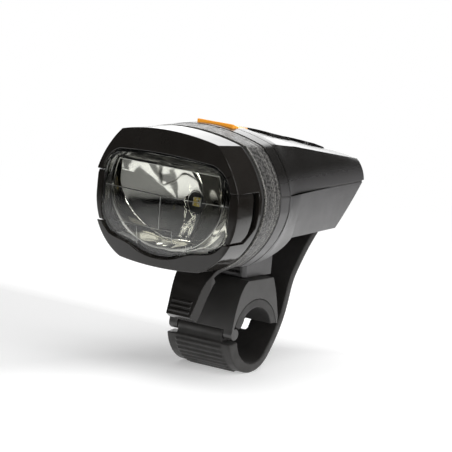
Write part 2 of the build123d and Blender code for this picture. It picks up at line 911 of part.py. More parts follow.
def make_power_button():
    """Orange cap on a stem: its front lip stands up and its finger rest sinks into the roof behind."""
    low = ring_top_z - button_sink
    half, length = button_half_width, button_rear_y - button_front_y
    plan = Pos(0, button_centre_y()) * RectangleRounded(2 * half, length, button_round)
    cap = extrude(Pos(0, 0, low) * plan, button_rise + button_sink)
    cap &= profile_solid(
        [
            (button_front_y, low),
            (button_front_y, ring_top_z + button_rise),
            (button_front_y + button_lip_length, ring_top_z - button_rear_drop),
            (button_rear_y, ring_top_z - button_rear_drop),
            (button_rear_y, low),
        ],
        half,
    )
    lip = cap.faces().filter_by(lambda face: face.normal_at().Z > cos(radians(lip_steepest)))
    cap = fillet(lip.sort_by(Axis.Z)[-1].edges(), button_round / 3)
    stem = rod(stem_radius, (0, button_centre_y(), low - boot_thickness), (0, button_centre_y(), low))
    return cap + stem


def make_button_boot():
    """Rubber boot on the ledge, with a dome that reaches down to the switch."""
    y = button_centre_y()
    top = well_floor_z() + boot_thickness
    plan = Pos(0, y) * RectangleRounded(
        2 * (button_half_width - boot_margin), button_rear_y - button_front_y - boot_margin, button_round
    )
    sheet = extrude(Pos(0, 0, well_floor_z()) * plan, boot_thickness)
    sheet -= rod(stem_radius + soft_gap, (0, y, well_floor_z() - overrun), (0, y, ring_top_z))
    cup = rod(boot_dome_radius, (0, y, switch_top_z() + seat_gap), (0, y, top))
    room_floor = ring_top_z - button_sink - boot_thickness - button_travel - seat_gap
    cup -= rod(stem_radius + soft_gap, (0, y, room_floor), (0, y, ring_top_z))
    return sheet + cup


def switch_top_z():
    return main_board_z + main_board_thickness + switch_height + switch_plunger_height


def make_main_board():
    """Circuit board above the cells, held between the screw bosses."""
    half = post_x - post_radius - slide_gap
    return block(
        (-half, half),
        (main_board_front_y, main_board_rear_y),
        (main_board_z, main_board_z + main_board_thickness),
    )


def make_tact_switch():
    """Square switch with a round plunger."""
    y, low = button_centre_y(), main_board_z + main_board_thickness
    top = low + switch_height
    body = block((-switch_half, switch_half), (y - switch_half, y + switch_half), (low, top))
    return body + rod(switch_plunger_radius, (0, y, top), (0, y, switch_top_z()))


def port_top_z():
    return roof_z(port_y) - port_below_roof


def make_charge_port():
    """Metal socket that stands on the board and opens upwards through the roof."""
    low = main_board_z + main_board_thickness
    shell = port_slot(0, low, port_top_z())
    return shell - port_slot(-port_wall, port_top_z() - port_depth, port_top_z() + overrun)


def make_port_cover():
    """Rubber flap that lies on the roof and plugs the socket's slot."""
    flap = pad_form(cover_front_y, cover_length) - pad_taper(cover_front_y, cover_length)
    flap -= Pos(0, 0, running_gap) * body_form()
    plug = port_slot(-seat_gap - soft_gap, port_top_z() + seat_gap, roof_z(port_y))
    return flap + plug


def cell_place(side):
    return side * cell_spacing / 2


def make_battery_cell(side):
    """Round cell with its raised pole at the front."""
    x = cell_place(side)
    end = cell_front_y + cell_length
    can = rod(cell_radius, (x, cell_front_y, cell_z), (x, end, cell_z))
    can = fillet(can.edges(), cell_edge_round)
    pole_end = (x, cell_front_y - cell_pole_height, cell_z)
    return can + rod(cell_pole_radius, pole_end, (x, cell_front_y, cell_z))


def make_battery_cradle():
    """Tray whose troughs carry both cells."""
    half = cell_spacing / 2 + cell_radius + cradle_wall
    low = cell_z - cell_radius - cradle_wall
    end = cell_front_y + cell_length
    tray = block((-half, half), (cell_front_y, end), (low, low + 2 * cell_radius * cradle_height_share))
    for x, y in post_places():
        tray -= rod(post_radius + slide_gap, (x, y, low - overrun), (x, y, parting_z))
    for side in (-1, 1):
        x = cell_place(side)
        tray -= rod(cell_radius + cradle_gap, (x, cell_front_y - overrun, cell_z), (x, end + overrun, cell_z))
    return tray & body_form(housing_wall + seat_gap)


def make_cell_strips():
    """Welded strips: one joins the cells behind, two lead off in front."""
    end = cell_front_y + cell_length
    reach = cell_spacing / 2 + strip_half_height
    height = (cell_z - strip_half_height, cell_z + strip_half_height)
    strips = [block((-reach, reach), (end, end + strip_thickness), height)]
    front = cell_front_y - cell_pole_height
    for side in (-1, 1):
        x = cell_place(side)
        across = (x - strip_half_height / 2, x + strip_half_height / 2)
        rise = (cell_z - strip_half_height, cell_z + cell_radius)
        strips.append(block(across, (front - strip_thickness, front), rise))
    return Compound(children=strips)


def pad_radius():
    return bar_radius + pad_thickness


def rear_foot_y():
    """Rear face of the saddle at its foot."""
    return sqrt((pad_radius() + saddle_foot_wall) ** 2 - saddle_foot_z**2)


def saddle_outline():
    """Front curve, rear curve and straight foot of the saddle's side outline."""
    front, foot = strap_pin_y - strap_knuckle_radius, strap_pin_z
    rise = saddle_top_z - foot
    depth = rear_foot_y() - saddle_rear_y
    slope = saddle_front_y - front
    nose_curve = [(front + slope * along, foot + rise * up) for along, up in saddle_front_shares]
    rear_curve = [(saddle_rear_y + depth * along, foot + rise * up) for along, up in saddle_rear_shares]
    return nose_curve, rear_curve, [(rear_foot_y(), saddle_foot_z), (0, saddle_foot_z), (0, foot)]


def make_bracket_saddle():
    """Hard saddle with the lamp rail, the strap's anchor and the hook behind."""
    half = clamp_half_width
    front, rear, foot = saddle_outline()
    edges = Curve() + [
        Spline(*front),
        Line(front[-1], rear[0]),
        Spline(*rear),
        Polyline(rear[-1], *foot, front[0]),
    ]
    saddle = extrude(lengthwise(0) * make_face(edges), half, both=True)
    pin = (strap_pin_y, strap_pin_z)
    saddle += rod(strap_knuckle_radius, (-half, *pin), (half, *pin))
    saddle -= rod(pad_radius() + seat_gap, (-half - overrun, 0, 0), (half + overrun, 0, 0)) - rod(
        strap_knuckle_radius, (-half - overrun, *pin), (half + overrun, *pin)
    )
    room = strap_knuckle_half + soft_gap
    saddle -= rod(strap_knuckle_radius + soft_gap, (-room, *pin), (room, *pin))
    ahead, below = strap_pin_y - 2 * strap_knuckle_radius, strap_pin_z - bar_radius
    saddle -= block((-room, room), (ahead, 0), (below, strap_pin_z))
    saddle -= rod(bar_radius, (-half - overrun, 0, 0), (half + overrun, 0, 0))
    bore = strap_pin_half_length + running_gap
    saddle -= rod(strap_pin_radius + running_gap, (-bore, *pin), (bore, *pin))
    return saddle + saddle_rail() + strap_hook()


def saddle_rail():
    """T rail on the saddle with the pocket that the catch drops into."""
    stem_top = saddle_top_z + rail_stem_height
    length = (rail_front_y, saddle_rear_y)
    rail = block((-rail_stem_half, rail_stem_half), length, (saddle_top_z, stem_top))
    rail += block((-rail_flange_half, rail_flange_half), length, (stem_top, rail_top_z()))
    pocket = block(
        (-tooth_half_width - tooth_gap, tooth_half_width + tooth_gap),
        (tooth_y - tooth_gap, tooth_y + spring_thickness + tooth_gap),
        (rail_top_z() - tooth_depth - tooth_gap, rail_top_z() + overrun),
    )
    return rail - pocket


def strap_hook():
    """Narrow hook behind the saddle that goes through a slot of the strap."""
    wall_y = sqrt(pad_radius() ** 2 - hook_z**2) + seat_gap
    reach = rear_foot_y() + hook_reach
    outline = [
        (wall_y, hook_z),
        (reach, hook_z),
        (reach, hook_z + hook_thickness + hook_rise),
        (reach - hook_thickness * 2 / 3, hook_z + hook_thickness + hook_rise),
        (reach - hook_thickness, hook_z + hook_thickness),
        (wall_y, hook_z + hook_thickness),
    ]
    pad_room = rod(pad_radius() + seat_gap, (-half_span(), 0, 0), (half_span(), 0, 0))
    return profile_solid(outline, hook_half_width) - pad_room


def half_span():
    return clamp_half_width + overrun


def make_bar_pad():
    """Rubber arch between the saddle and the bar."""
    ring_solid = rod(pad_radius(), (-clamp_half_width, 0, 0), (clamp_half_width, 0, 0))
    ring_solid -= rod(bar_radius, (-half_span(), 0, 0), (half_span(), 0, 0))
    reach = pad_radius() + overrun
    arch = ring_solid & block((-clamp_half_width, clamp_half_width), (-reach, reach), (pad_foot_z, reach))
    pin = (strap_pin_y, strap_pin_z)
    clear = strap_knuckle_radius + 2 * soft_gap
    return arch - rod(clear, (-half_span(), *pin), (half_span(), *pin))


def strap_path():
    """Inner face of the strap in side view: round the bar from the neck, then up to the free tail."""
    loop = bar_radius + soft_gap
    turns = [(loop * cos(radians(angle)), loop * sin(radians(angle))) for angle in strap_loop_angles]
    rise = [(bar_radius * along, bar_radius * up) for along, up in strap_tail_shares]
    return Spline(*turns, *rise)


def strap_outline():
    """Points along both faces of the strap, which is thick at its neck and thin in its tail."""
    path = strap_path()
    count = 24
    outer, inner = [], []
    for i in range(count + 1):
        share = i / count
        spot, way = path @ share, path % share
        taper = max(0, 1 - share / strap_taper_share)
        thickness = strap_tail_thickness + (strap_neck_thickness - strap_tail_thickness) * taper
        outer.append(spot + Vector(way.Y, -way.X) * thickness)
        inner.append(spot)
    return outer, inner


def strap_ribs(outer):
    """Grip ribs across the outside of the strap's front."""
    face = Spline(*outer)
    ribs = []
    half = strap_knuckle_half
    for i in range(strap_rib_count):
        spot = face @ ((i + 1) * strap_rib_pitch / face.length)
        ribs.append(rod(strap_rib_radius, (-half, spot.X, spot.Y), (half, spot.X, spot.Y)))
    return ribs


def strap_slot(share):
    """Slot for the hook, cut square through the strap's tail."""
    path = strap_path()
    spot, way = path @ share, path % share
    plane = Plane(origin=(0, spot.X, spot.Y), x_dir=(1, 0, 0), z_dir=(0, way.Y, -way.X))
    plan = RectangleRounded(2 * strap_slot_half_width, strap_slot_length, strap_slot_half_width / 2)
    return extrude(plane * plan, strap_tail_thickness + overrun, both=True)


def make_clamp_strap():
    """Rubber strap: knuckle on the pin, ribbed front, loop round the bar and a slotted tail."""
    outer, inner = strap_outline()
    edges = Curve() + [
        Spline(*outer),
        Line(outer[-1], inner[-1]),
        Spline(*reversed(inner)),
        Line(inner[0], outer[0]),
    ]
    strap = extrude(lengthwise(0) * make_face(edges), clamp_half_width, both=True)
    far = 2 * half_span()
    strap &= block((-half_span(), half_span()), (-far, tail_y), (-far, strap_tail_top_z))
    for share in strap_slot_shares:
        strap -= strap_slot(share)
    for rib in strap_ribs(outer):
        strap += rib
    pin = (strap_pin_y, strap_pin_z)
    strap -= rod(strap_knuckle_radius + soft_gap, (-half_span(), *pin), (half_span(), *pin))
    knuckle = rod(strap_knuckle_radius, (-strap_knuckle_half, *pin), (strap_knuckle_half, *pin))
    neck = [
        (strap_pin_y + strap_knuckle_radius * along, strap_pin_z + strap_knuckle_radius * up)
        for along, up in strap_neck_shares
    ]
    strap += knuckle + profile_solid(neck, strap_knuckle_half)
    strap -= rod(strap_pin_radius + running_gap, (-half_span(), *pin), (half_span(), *pin))
    return strap


def make_strap_pin():
    """Steel pin through the saddle's cheeks and the strap's knuckle."""
    pin = (strap_pin_y, strap_pin_z)
    return rod(strap_pin_radius, (-strap_pin_half_length, *pin), (strap_pin_half_length, *pin))


def lever_points():
    """Centre line of the tongue from its pin to its tip."""
    return [
        (lever_pin_y, lever_pin_z),
        (lever_throat_y, lever_throat_z),
        (lever_shoulder_y, lever_shoulder_z),
        (lever_bend_y, lever_bend_z),
        (lever_waist_y, lever_waist_z),
        (lever_tip_y, lever_tip_z),
    ]


def lever_plan(inset=0):
    """Column over the tongue's outline in plan, drawn in by a wall."""
    root, tip = lever_root_half - inset, lever_tip_half - inset
    end = lever_tip_y - lever_thickness / 2
    plan = [
        (-root, lever_pin_y),
        (-root, lever_bend_y),
        (-tip, end),
        (tip, end),
        (root, lever_bend_y),
        (root, lever_pin_y),
    ]
    return extrude(make_face(Polyline(*plan, close=True)), lever_pin_z + lever_thickness)


def lever_side(middle, deep):
    """Solid between the tongue's centre line and a line behind it."""
    return profile_solid([(spot.X, spot.Y) for spot in middle + deep[::-1]], lever_root_half)


def make_release_lever():
    """Rocking tongue with side walls: it narrows to a ribbed tip and its forked tail lifts the catch."""
    half = lever_thickness / 2
    centre = Spline(*lever_points())
    middle, upper, lower, deep = [], [], [], []
    for i in range(lever_steps + 1):
        spot, way = centre @ (i / lever_steps), centre % (i / lever_steps)
        normal = Vector(-way.Y, way.X)
        middle.append(spot)
        upper.append(spot - normal * half)
        lower.append(spot + normal * half)
        deep.append(spot + normal * (half + lever_wall_depth))
    edges = Curve() + [
        Spline(*upper),
        Line(upper[-1], lower[-1]),
        Spline(*reversed(lower)),
        Line(lower[0], upper[0]),
    ]
    blade = extrude(lengthwise(0) * make_face(edges), lever_root_half, both=True)
    walls = lever_side(middle[lever_wall_start:], deep[lever_wall_start:]) - lever_plan(lever_wall)
    walls += lever_side(middle[-2:], deep[-2:])
    blade = (blade + walls) & lever_plan()
    pin = (lever_pin_y, lever_pin_z)
    lever = blade + rod(lever_knuckle_radius, (-lever_root_half, *pin), (lever_root_half, *pin))
    tail_low = cavity_z() + slide_gap
    tail = profile_solid(
        [
            (lever_pin_y, lever_pin_z - half),
            (lever_tail_y, tail_low),
            (lever_tail_y, spring_z() - spring_lift_gap),
            (tooth_y - tooth_gap, spring_z() - spring_lift_gap),
            (lever_pin_y, lever_pin_z + half),
        ],
        lever_root_half,
    )
    fork = tooth_half_width + 2 * tooth_gap
    tail -= block((-fork, fork), (lever_pin_y + lever_knuckle_radius, foot_rear_y), (saddle_top_z, parting_z))
    lever += tail
    for rib in lever_ribs(centre):
        lever += rib
    return lever - rod(lever_pin_radius + running_gap, (-foot_half_width, *pin), (foot_half_width, *pin))


def lever_ribs(centre):
    """Grip ribs across the front of the tongue's tip."""
    ribs = []
    reach = lever_tip_half - lever_rib_margin
    for i in range(lever_rib_count):
        share = 1 - (i + 1) * lever_rib_pitch / centre.length
        spot, way = centre @ share, centre % share
        face = spot - Vector(-way.Y, way.X) * (lever_thickness / 2)
        ribs.append(rod(lever_rib_radius, (-reach, face.X, face.Y), (reach, face.X, face.Y)))
    return ribs


def make_lever_pin():
    """Pin of the lever, held in the foot's walls."""
    pin = (lever_pin_y, lever_pin_z)
    return rod(lever_pin_radius, (-lever_pin_half_length, *pin), (lever_pin_half_length, *pin))


def spring_z():
    """Underside of the leaf."""
    return cavity_z() + slide_gap + lever_thickness


def make_catch_spring():
    """Steel leaf held in the foot's rear wall, with a tooth bent down at its front."""
    leaf = block(
        (-spring_half_width, spring_half_width),
        (tooth_y, foot_rear_y - foot_wall / 2),
        (spring_z(), spring_z() + spring_thickness),
    )
    tooth = block(
        (-tooth_half_width, tooth_half_width),
        (tooth_y, tooth_y + spring_thickness),
        (rail_top_z() - tooth_depth, spring_z()),
    )
    return leaf + tooth


def save(name, shape):
    export_step(shape, f"parts/{name}.step")


def main():
    os.makedirs("parts", exist_ok=True)
    save("front_bezel", make_front_bezel())
    save("lens_frame", make_lens_frame())
    save("front_lens", make_front_lens())
    save("lens_seal", make_lens_seal())
    save("reflector", make_reflector())
    save("led_board", make_led_board())
    save("led_emitter", make_led_emitter())
    save("heat_sink", make_heat_sink())
    save("board_screws", make_board_screws())
    save("collar", make_collar())
    save("front_band", make_band(front_band_y, front_band_width))
    save("rear_band", make_band(rear_band_y, rear_band_width, rear_band_sink))
    save("upper_housing", make_upper_housing())
    save("lower_housing", make_lower_housing())
    save("housing_seal", make_housing_seal())
    save("housing_screws", make_housing_screws())
    save("main_board", make_main_board())
    save("tact_switch", make_tact_switch())
    save("button_boot", make_button_boot())
    save("power_button", make_power_button())
    save("charge_port", make_charge_port())
    save("port_cover", make_port_cover())
    save("battery_cell_left", make_battery_cell(-1))
    save("battery_cell_right", make_battery_cell(1))
    save("battery_cradle", make_battery_cradle())
    save("cell_strips", make_cell_strips())
    save("bracket_saddle", make_bracket_saddle())
    save("bar_pad", make_bar_pad())
    save("clamp_strap", make_clamp_strap())
    save("strap_pin", make_strap_pin())
    save("release_lever", make_release_lever())
    save("lever_pin", make_lever_pin())
    save("catch_spring", make_catch_spring())


main()
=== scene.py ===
"""Looks of a bike headlight on its handlebar clamp, in metres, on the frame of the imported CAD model."""

from math import radians

import bpy
from mathutils import Matrix, Vector


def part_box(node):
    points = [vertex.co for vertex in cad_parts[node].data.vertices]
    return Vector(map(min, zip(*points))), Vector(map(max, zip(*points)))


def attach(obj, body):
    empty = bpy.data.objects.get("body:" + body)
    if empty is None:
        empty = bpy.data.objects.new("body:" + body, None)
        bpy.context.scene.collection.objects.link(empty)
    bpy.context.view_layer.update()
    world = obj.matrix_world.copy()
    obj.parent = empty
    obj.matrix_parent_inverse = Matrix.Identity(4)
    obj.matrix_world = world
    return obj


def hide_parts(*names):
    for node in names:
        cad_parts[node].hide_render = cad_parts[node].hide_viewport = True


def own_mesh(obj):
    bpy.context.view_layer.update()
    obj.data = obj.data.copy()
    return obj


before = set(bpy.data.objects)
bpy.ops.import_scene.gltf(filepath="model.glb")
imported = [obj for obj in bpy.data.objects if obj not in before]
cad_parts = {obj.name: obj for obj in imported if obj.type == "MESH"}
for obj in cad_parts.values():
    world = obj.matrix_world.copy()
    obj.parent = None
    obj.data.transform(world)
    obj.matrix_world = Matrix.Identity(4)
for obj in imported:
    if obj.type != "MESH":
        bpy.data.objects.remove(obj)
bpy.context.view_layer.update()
scene = bpy.context.scene
scene.view_settings.view_transform = "Standard"

# Camera: a little over a metre away, in front of the lamp, a little above it and to the rider's left,
# and turned slightly about its own axis. Left and right in the studio are as the camera sees them.
looked_at = Vector((-0.00578, 0.00407, 0.04008))
towards_camera = Vector((0.5714, -0.8041, 0.1642))
camera_right = Vector((0.8039, 0.5887, 0.0851))
camera_up = Vector((-0.1651, 0.0834, 0.9828))
camera_distance = 1.25
camera_turn = Matrix((camera_right, camera_up, towards_camera)).transposed().to_4x4()
bpy.ops.object.camera_add()
camera = bpy.context.object
camera.matrix_world = Matrix.Translation(looked_at + camera_distance * towards_camera) @ camera_turn
camera.data.lens = 248.9
scene.camera = camera


# Room: dark, with a white screen high behind the lamp and a lower one behind it on the left, which
# only gloss and clear pieces see. The camera sees plain white, and matt pieces get an even light.
def feed(tree, value, socket):
    """Gives a socket a number, a colour or the output of another node."""
    if isinstance(value, bpy.types.NodeSocket):
        tree.links.new(value, socket)
    else:
        socket.default_value = (*value, 1) if isinstance(value, tuple) else value


def dotted(tree, source, way):
    """How far a direction or place lies along a way."""
    along = tree.nodes.new("ShaderNodeVectorMath")
    along.operation = "DOT_PRODUCT"
    along.inputs[1].default_value = way
    tree.links.new(source, along.inputs[0])
    return along.outputs["Value"]


def ramp(tree, value, start, end, low, high, curve="SMOOTHSTEP"):
    """Passes from low to high while another value goes from start to end."""
    step = tree.nodes.new("ShaderNodeMapRange")
    step.interpolation_type = curve
    for side, limit in (("From Min", start), ("From Max", end), ("To Min", low), ("To Max", high)):
        step.inputs[side].default_value = limit
    tree.links.new(value, step.inputs["Value"])
    return step.outputs["Result"]


def combine(tree, operation, first, second):
    """One value from two others, such as their product or the larger of them."""
    maths = tree.nodes.new("ShaderNodeMath")
    maths.operation = operation
    feed(tree, first, maths.inputs[0])
    feed(tree, second, maths.inputs[1])
    return maths.outputs[0]


def choose(tree, factor, low, high):
    """Passes from one value to another by a factor."""
    mix = tree.nodes.new("ShaderNodeMix")
    tree.links.new(factor, mix.inputs["Factor"])
    feed(tree, low, mix.inputs["A"])
    feed(tree, high, mix.inputs["B"])
    return mix.outputs["Result"]


dark_room, even_light, backdrop = 0.035, 0.35, 1.0
high_screen_way, high_screen_light = (-0.45, 0.75, 0.48), 3.0
low_screen_way, low_screen_light = (-0.81, 0.57, 0.12), 2.5
room = bpy.data.worlds.new("white screen in a dark room")
scene.world = room
room.use_nodes = True
tree = room.node_tree
room_ray = tree.nodes.new("ShaderNodeLightPath").outputs
direction = tree.nodes.new("ShaderNodeTexCoord").outputs["Generated"]
high_screen = ramp(tree, dotted(tree, direction, high_screen_way), 0.86, 0.92, dark_room, high_screen_light)
low_screen = ramp(tree, dotted(tree, direction, low_screen_way), 0.93, 0.97, 0, low_screen_light)
screens = combine(tree, "MAXIMUM", high_screen, low_screen)
mirrored = combine(tree, "MAXIMUM", room_ray["Is Glossy Ray"], room_ray["Is Transmission Ray"])
lighting = choose(tree, mirrored, even_light, screens)
shown = choose(tree, room_ray["Is Camera Ray"], lighting, backdrop)
tree.links.new(shown, tree.nodes["Background"].inputs["Strength"])
tree.nodes["Background"].inputs["Color"].default_value = (1, 1, 1, 1)


# Table: a white sheet under the strap that runs out into the white backdrop. A glow of its own stands
# in for the light of the room, and gloss pieces see two dark strips and a far white card on it.
def placed_primitive(name):
    """Names the primitive that was just added, and moves its place into its mesh."""
    piece = bpy.context.object
    piece.name = name
    bpy.ops.object.transform_apply(location=True, rotation=True, scale=True)
    return piece


def own_place(tree):
    """Where a point lies on the piece itself."""
    return tree.nodes.new("ShaderNodeTexCoord").outputs["Object"]


def matt_white(tree):
    """White paint without gloss."""
    paint = tree.nodes.new("ShaderNodeBsdfDiffuse")
    paint.inputs["Color"].default_value = (0.8, 0.8, 0.8, 1)
    return paint.outputs[0]


def glowing(tree, strength):
    """A white surface with its own light."""
    light = tree.nodes.new("ShaderNodeEmission")
    tree.links.new(strength, light.inputs["Strength"])
    return light.outputs[0]


def choose_shader(tree, factor, first, second=None):
    """Passes from one shader to another by a factor, or to black where there is no other."""
    mix = tree.nodes.new("ShaderNodeMixShader")
    tree.links.new(factor, mix.inputs[0])
    tree.links.new(first, mix.inputs[1])
    if second:
        tree.links.new(second, mix.inputs[2])
    return mix.outputs[0]


across, backwards = (1, 0, 0), (0, 1, 0)
floor_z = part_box("clamp_strap")[0].z
bpy.ops.mesh.primitive_circle_add(vertices=96, radius=3, fill_type="NGON", location=(0, 0, floor_z))
floor = placed_primitive("studio_floor")
floor_paint = bpy.data.materials.new("white table")
floor_paint.use_nodes = True
tree = floor_paint.node_tree
tree.nodes.remove(tree.nodes["Principled BSDF"])
place = own_place(tree)
floor_ray = tree.nodes.new("ShaderNodeLightPath").outputs

# The glow near the lamp: the camera sees a painted shadow on the left, where the glow is lower, and full
# glow again behind. Gloss sees a painted shadow that darkens towards the left, under a brighter glow.
full_glow, shadow_glow, left_shadow_glow, glow_in_gloss = 0.42, 0.17, 0.24, 1.6
shadow = ramp(tree, dotted(tree, place, (-1, 0.25, 0)), -0.01, 0.035, full_glow, shadow_glow)
full_behind = ramp(tree, dotted(tree, place, backwards), 0.01, 0.08, 0, full_glow)
glow_seen = combine(tree, "MAXIMUM", shadow, full_behind)
painted_shadow_left = ramp(tree, dotted(tree, place, (-0.81, -0.59, 0)), 0, 0.1, full_glow, left_shadow_glow)
glow_mirrored = combine(tree, "MULTIPLY", painted_shadow_left, glow_in_gloss)
near_glow = choose(tree, floor_ray["Is Camera Ray"], glow_mirrored, glow_seen)
lit_paint = tree.nodes.new("ShaderNodeAddShader")
tree.links.new(matt_white(tree), lit_paint.inputs[0])
tree.links.new(glowing(tree, near_glow), lit_paint.inputs[1])

# Two dark strips in front of the lamp, for gloss only: a narrow one, and one that goes on to the right.
aside = dotted(tree, place, across)
narrow_left = ramp(tree, aside, 0.009, 0.014, 0, 1)
narrow_right = ramp(tree, aside, 0.026, 0.03, 1, 0)
wide_left = ramp(tree, aside, 0.043, 0.048, 0, 1)
in_front = ramp(tree, dotted(tree, place, backwards), -0.035, -0.055, 0, 0.8)
strips = combine(tree, "MAXIMUM", combine(tree, "MULTIPLY", narrow_left, narrow_right), wide_left)
strips = combine(tree, "MULTIPLY", strips, in_front)
strips = combine(tree, "SUBTRACT", strips, floor_ray["Is Camera Ray"])
near_table = choose_shader(tree, combine(tree, "MAXIMUM", strips, 0), lit_paint.outputs[0])

# Far from the lamp the camera sees the backdrop's white, and gloss sees a card behind on the left.
card_left = ramp(tree, dotted(tree, place, (-0.9, 0.1, 0)), 0.18, 0.27, 0, 1)
card_behind = ramp(tree, dotted(tree, place, backwards), 0, 0.12, 0, 1.4)
card = combine(tree, "MULTIPLY", card_left, card_behind)
far_table = glowing(tree, choose(tree, floor_ray["Is Camera Ray"], card, backdrop))
reach = tree.nodes.new("ShaderNodeVectorMath")
reach.operation = "LENGTH"
tree.links.new(place, reach.inputs[0])
far = ramp(tree, reach.outputs["Value"], 0.14, 0.5, 0, 1)
table = choose_shader(tree, far, near_table, far_table)
floor_look = choose_shader(tree, floor_ray["Is Diffuse Ray"], table, matt_white(tree))
tree.links.new(floor_look, tree.nodes["Material Output"].inputs["Surface"])
floor.data.materials.append(floor_paint)


# Lights: three softboxes that give the matt pieces their shape, and two upright screens on the right
# that stand as thin light lines in the gloss pieces.
def softbox(name, place, width, depth, power):
    """A rectangular lamp that faces the middle of the lamp head."""
    bpy.ops.object.light_add(type="AREA", location=place)
    lamp = bpy.context.object
    lamp.name = name
    lamp.data.shape = "RECTANGLE"
    lamp.data.size, lamp.data.size_y, lamp.data.energy = width, depth, power
    lamp.rotation_euler = (Vector(place) - head_middle).to_track_quat("Z", "Y").to_euler()
    lamp.visible_camera = False
    return lamp


head_middle = Vector((0, 0, 0.05))
softbox("overhead_softbox", (0.05, -0.05, 0.75), 0.7, 0.6, 3.6).visible_glossy = False
softbox("side_softbox", (0.95, 0.1, 0.35), 0.5, 0.7, 2.4).visible_glossy = False
softbox("back_softbox", (-0.75, 1.05, 0.45), 0.9, 0.6, 2.0).visible_glossy = False
softbox("right_strip", (1.05, 0.38, 0.2), 0.08, 0.5, 1.2)
softbox("near_screen", (0.8, -0.45, 0.45), 0.1, 0.9, 3.4).visible_diffuse = False


# Saddle: glass-filled nylon, moulded with the rail on its top and the strap's hook behind, with a
# fine grain that the mould was given.
def finish_tree(name, colour, roughness):
    """A new material with its node tree and its shader."""
    finish = bpy.data.materials.new(name)
    finish.use_nodes = True
    tree = finish.node_tree
    shader = tree.nodes["Principled BSDF"]
    shader.inputs["Base Color"].default_value = (*colour, 1)
    shader.inputs["Roughness"].default_value = roughness
    return finish, tree, shader


def noise(tree, scale, detail=3, stretch=(1, 1, 1)):
    """Soft noise on the piece, with scale in waves per metre."""
    turn = tree.nodes.new("ShaderNodeMapping")
    turn.inputs["Scale"].default_value = stretch
    pattern = tree.nodes.new("ShaderNodeTexNoise")
    pattern.inputs["Scale"].default_value = scale
    pattern.inputs["Detail"].default_value = detail
    tree.links.new(own_place(tree), turn.inputs["Vector"])
    tree.links.new(turn.outputs["Vector"], pattern.inputs["Vector"])
    return pattern.outputs["Fac"]


def spread(tree, pattern, low, high, start=0.35, end=0.65):
    """Turns noise into values between two limits."""
    return ramp(tree, pattern, start, end, low, high, "LINEAR")


def coloured(tree, shader, factor, first, second):
    """Colours the shader between two tones by a factor."""
    mix = tree.nodes.new("ShaderNodeMix")
    mix.data_type = "RGBA"
    feed(tree, first, mix.inputs["A"])
    feed(tree, second, mix.inputs["B"])
    tree.links.new(factor, mix.inputs["Factor"])
    tree.links.new(mix.outputs["Result"], shader.inputs["Base Color"])


def uneven_gloss(tree, shader, pattern, low, high):
    """Lets a pattern turn the roughness between two limits."""
    tree.links.new(spread(tree, pattern, low, high), shader.inputs["Roughness"])


def grain(tree, shader, height, depth, strength=1.0, under=None):
    """Presses a pattern into the surface, to a depth in metres."""
    bump = tree.nodes.new("ShaderNodeBump")
    bump.inputs["Strength"].default_value = strength
    bump.inputs["Distance"].default_value = depth
    tree.links.new(height, bump.inputs["Height"])
    if under:
        tree.links.new(under, bump.inputs["Normal"])
    tree.links.new(bump.outputs["Normal"], shader.inputs["Normal"])
    return bump.outputs["Normal"]


def moulded(name, light, dark, roughness, grain_scale, grain_depth, shine=0.5):
    """Moulded plastic: slow changes of tone and shine, and the grain of the mould."""
    tone_scale, smear_scale, wave_scale, wave_depth = 90, 260, 70, 0.00002
    finish, tree, shader = finish_tree(name, light, roughness)
    shader.inputs["Specular IOR Level"].default_value = shine
    coloured(tree, shader, spread(tree, noise(tree, tone_scale), 0, 1), dark, light)
    smears = noise(tree, smear_scale, detail=5)
    uneven_gloss(tree, shader, smears, roughness * 0.93, roughness * 1.1)
    pressed = grain(tree, shader, noise(tree, grain_scale, detail=2), grain_depth)
    waves = noise(tree, wave_scale, detail=1)
    grain(tree, shader, waves, wave_depth, strength=0.2, under=pressed)
    return finish


def pick(piece):
    """Selects a piece alone, for the operators that follow."""
    bpy.ops.object.select_all(action="DESELECT")
    piece.select_set(True)
    bpy.context.view_layer.objects.active = piece


def merged_copy(node, name):
    """A copy of the node's mesh with its loose triangles joined."""
    piece = bpy.data.objects.new(name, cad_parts[node].data.copy())
    scene.collection.objects.link(piece)
    pick(piece)
    if piece.data.has_custom_normals:
        bpy.ops.mesh.customdata_custom_splitnormals_clear()
    bpy.ops.object.mode_set(mode="EDIT")
    bpy.ops.mesh.select_all(action="SELECT")
    bpy.ops.mesh.remove_doubles(threshold=0.000002)
    bpy.ops.mesh.dissolve_limited(angle_limit=radians(0.3))
    bpy.ops.object.mode_set(mode="OBJECT")
    piece.data.materials.clear()
    return piece


def apply_modifiers(piece):
    """Makes the shape that the modifiers give the piece's own."""
    bpy.context.view_layer.objects.active = piece
    for modifier in list(piece.modifiers):
        bpy.ops.object.modifier_apply(modifier=modifier.name)


def put_on(piece, node, body):
    """Puts a piece on its body, in the place of its CAD node."""
    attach(piece, body)
    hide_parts(node)
    return piece


def finished(piece, node, body, finish, smooth=30):
    """Gives a piece its shading and its finish, and puts it in its node's place."""
    pick(piece)
    bpy.ops.object.shade_smooth_by_angle(angle=radians(smooth))
    flats = piece.modifiers.new("flat faces stay flat", "WEIGHTED_NORMAL")
    flats.keep_sharp = True
    apply_modifiers(piece)
    piece.data.materials.append(finish)
    return put_on(piece, node, body)


def eased(node, name, body, finish, width, segments=2, held=False):
    """The CAD shape with its corners eased, as a mould leaves them."""
    piece = merged_copy(node, name)
    edge = piece.modifiers.new("eased corners", "BEVEL")
    edge.width, edge.segments, edge.angle_limit = width, segments, radians(28)
    edge.use_clamp_overlap = held
    apply_modifiers(piece)
    return finished(piece, node, body, finish, smooth=40)


saddle_finish = moulded(
    "grained black nylon", (0.05, 0.048, 0.046), (0.038, 0.036, 0.034),
    roughness=0.42, grain_scale=2600, grain_depth=0.00003, shine=0.8,
)
eased("bracket_saddle", "saddle", "bracket", saddle_finish, width=0.0003)


